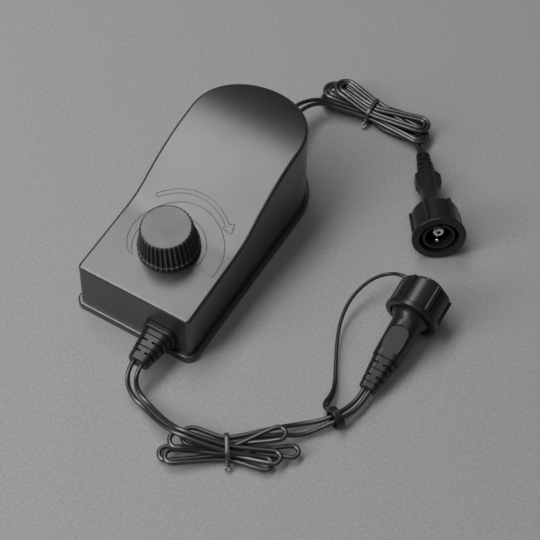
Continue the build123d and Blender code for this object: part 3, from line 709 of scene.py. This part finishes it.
class DIMMER_OT_tether(bpy.types.Operator):
    """Run the strap from the cap's ring to its loop on the cord"""

    bl_idname = "dimmer.tether"
    bl_label = "Tether"

    def execute(self, context):
        radius = context.scene.dimmer_sizes.strap_radius
        place = laid(SOCKET_TAIL, SOCKET_PLAN, SOCKET_TILT)
        start = place @ Vector((RING_LUG, 0.0, RING_MIDDLE))
        out = place @ Vector((STRAP_STRAIGHT, 0.0, RING_MIDDLE))
        ends = [Vector(LOOP_SPOT) + LOOP_AWAY * (LOOP_LUG + extra) for extra in (FOOT_STRAIGHT, 0.0)]
        spots = [start, out] + [Vector(spot) for spot in STRAP_ROUTE] + ends
        plain = len(spots) - len(ROOT_WIDTHS) - len(FOOT_WIDTHS)
        widths = ROOT_WIDTHS + [1.0] * plain + FOOT_WIDTHS
        strap = to_mesh(curve_object("cap_strap", spots, radius, widths))
        dress(strap, "cap_strap", "soft_black", body=None)
        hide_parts("cap_tether")
        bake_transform(strap)
        return {"FINISHED"}


def on_top(x, y):
    """Height of the housing's top at a place, found on the CAD shell."""
    hit, spot, normal, face = NODES["upper_shell"].ray_cast(Vector((x, y, 0.1)), Vector((0, 0, -1)))
    return spot.z if hit else 0.0


def around(radius, degrees):
    """A point on the top, at a radius and angle round the knob."""
    angle = math.radians(degrees)
    x = KNOB_CENTRE[0] + radius * math.cos(angle)
    y = KNOB_CENTRE[1] + radius * math.sin(angle)
    return Vector((x, y, on_top(x, y)))


def closed_line(name, spots, radius):
    """A raised line along a closed outline on the top."""
    obj = curve_object(name, spots + spots[:1], radius, order=2)
    return to_mesh(obj)


# The arrow round the knob, in degrees from +X, and its head: radius past the arrow's middle line and angle
ARROW_HALF = 0.0009
ARROW_FROM = 135
ARROW_SWEEP = 85
ARROW_STEPS = 40
ARROW_HEAD = [(0.0034, 49), (0.0008, 41), (-0.0026, 50)]

# The crescent, narrow at its start and wide at its end
CRESCENT_INNER = 0.0172
CRESCENT_THIN = 0.0175
CRESCENT_GROWTH = 0.0088
CRESCENT_POWER = 0.6
CRESCENT_FROM = 225
CRESCENT_SWEEP = 235
CRESCENT_STEPS = 60


def swept(radius, start, sweep, steps):
    """Points on the top at one radius, over a sweep of degrees."""
    return [around(radius, start + sweep * i / steps) for i in range(steps + 1)]


class DIMMER_OT_marks(bpy.types.Operator):
    """Raise the turning arrow and the widening crescent round the knob"""

    bl_idname = "dimmer.marks"
    bl_label = "Marks"

    def execute(self, context):
        sizes = context.scene.dimmer_sizes
        mid = sizes.mark_radius
        outer = swept(mid + ARROW_HALF, ARROW_FROM, -ARROW_SWEEP, ARROW_STEPS)
        inner = swept(mid - ARROW_HALF, ARROW_FROM - ARROW_SWEEP, ARROW_SWEEP, ARROW_STEPS)
        head = [around(mid + past, degrees) for past, degrees in ARROW_HEAD]
        arrow = closed_line("turning_arrow", outer + head + inner, sizes.mark_width / 2)
        dress(arrow, "turning_arrow", "shell_plastic")
        growth = []
        for i in range(CRESCENT_STEPS + 1):
            share = i / CRESCENT_STEPS
            radius = CRESCENT_THIN + CRESCENT_GROWTH * share ** CRESCENT_POWER
            growth.append(around(radius, CRESCENT_FROM - CRESCENT_SWEEP * i / CRESCENT_STEPS))
        back = swept(CRESCENT_INNER, CRESCENT_FROM - CRESCENT_SWEEP, CRESCENT_SWEEP, CRESCENT_STEPS)
        crescent = closed_line("level_crescent", growth + back, sizes.mark_width / 2)
        dress(crescent, "level_crescent", "shell_plastic")
        return {"FINISHED"}


# The photograph's camera, with its focal length in pixels of a frame 540 wide
CAMERA_PLACE = Vector((0.2078, -0.3250, 0.5084))
CAMERA_TARGET = Vector((0.03531, -0.00057, 0.0))
CAMERA_ROLL = 0.05422
FOCAL_PIXELS = 1300
FRAME_PIXELS = 540
SENSOR = 36.0

# Each light's place, what it points at, its two sides and its power: a long softbox overhead at the left,
# whose soft reflection lies on the top, and two weak ones
LIGHTS = {
    "softbox": ((-0.68, -0.4, 1.6), (-0.45, -0.43, 0.0), (0.6, 2.6), 31.0),
    "overhead": ((0.35, -0.35, 1.5), (0.1, -0.1, 0.0), (0.8, 0.8), 3.0),
    "fill": ((-0.65, -1.0, 0.7), (-0.1, -0.4, 0.0), (0.5, 0.5), 8.0),
}
ROOM_LIGHT = 0.05
FLOOR_SIDE = 6.0
FLOOR_DROP = 0.0001


def area_light(name, place, target, sides, power):
    """A flat lamp whose second side runs along the part's own length, as near as its lean lets it."""
    deselect()
    bpy.ops.object.light_add(type="AREA", location=place)
    light = bpy.context.active_object
    light.name = name
    light.data.shape = "RECTANGLE"
    light.data.size, light.data.size_y = sides
    light.data.energy = power
    upward = (Vector(place) - Vector(target)).normalized()
    across = Vector((0, 1, 0)).cross(upward).normalized()
    light.rotation_euler = Matrix((across, upward.cross(across), upward)).transposed().to_euler()


def camera():
    """The camera at the photograph's place, rolled about its own line of sight."""
    deselect()
    bpy.ops.object.camera_add(location=CAMERA_PLACE)
    made = bpy.context.active_object
    made.data.lens = FOCAL_PIXELS / FRAME_PIXELS * SENSOR
    made.data.sensor_width = SENSOR
    forward = (CAMERA_TARGET - CAMERA_PLACE).normalized()
    right = forward.cross(Vector((0, 0, 1))).normalized()
    up = right.cross(forward)
    rolled = right * math.cos(CAMERA_ROLL) + up * math.sin(CAMERA_ROLL)
    raised = up * math.cos(CAMERA_ROLL) - right * math.sin(CAMERA_ROLL)
    made.rotation_euler = Matrix((rolled, raised, -forward)).transposed().to_euler()
    return made


class DIMMER_OT_stage(bpy.types.Operator):
    """Set the floor, the lights and the camera"""

    bl_idname = "dimmer.stage"
    bl_label = "Stage"

    def execute(self, context):
        look = context.scene.dimmer_look
        deselect()
        bpy.ops.mesh.primitive_plane_add(size=FLOOR_SIDE, location=(0.0, 0.0, -FLOOR_DROP))
        floor = bpy.context.active_object
        floor.name = "floor"
        floor.data.materials.append(paper("floor_paper", list(look.floor_colour)))
        for name, settings in LIGHTS.items():
            area_light(name, *settings)
        world = bpy.data.worlds.new("studio")
        world.use_nodes = True
        background = world.node_tree.nodes["Background"]
        background.inputs["Color"].default_value = (1.0, 1.0, 1.0, 1.0)
        background.inputs["Strength"].default_value = ROOM_LIGHT
        context.scene.world = world
        context.scene.camera = camera()
        context.scene.view_settings.view_transform = "Standard"
        return {"FINISHED"}


class DIMMER_PT_panel(bpy.types.Panel):
    bl_idname = "DIMMER_PT_panel"
    bl_label = "Light dimmer"
    bl_space_type = "VIEW_3D"
    bl_region_type = "UI"
    bl_category = "Dimmer"

    def draw(self, context):
        for step in OPERATORS:
            self.layout.operator(step.bl_idname)
        for group in (context.scene.dimmer_look, context.scene.dimmer_sizes):
            for key in group.__annotations__:
                self.layout.prop(group, key)


OPERATORS = [DIMMER_OT_finishes, DIMMER_OT_cords, DIMMER_OT_ties, DIMMER_OT_tether, DIMMER_OT_marks,
             DIMMER_OT_stage]
CLASSES = [DimmerLook, DimmerSizes] + OPERATORS + [DIMMER_PT_panel]


def register():
    for item in CLASSES:
        bpy.utils.register_class(item)
    bpy.types.Scene.dimmer_look = PointerProperty(type=DimmerLook)
    bpy.types.Scene.dimmer_sizes = PointerProperty(type=DimmerSizes)


def unregister():
    del bpy.types.Scene.dimmer_sizes
    del bpy.types.Scene.dimmer_look
    for item in reversed(CLASSES):
        bpy.utils.unregister_class(item)


def main():
    register()
    bpy.ops.dimmer.finishes()
    bpy.ops.dimmer.cords()
    bpy.ops.dimmer.ties()
    bpy.ops.dimmer.tether()
    bpy.ops.dimmer.marks()
    bpy.ops.dimmer.stage()
    bpy.context.view_layer.update()


if __name__ == "__main__":
    main()
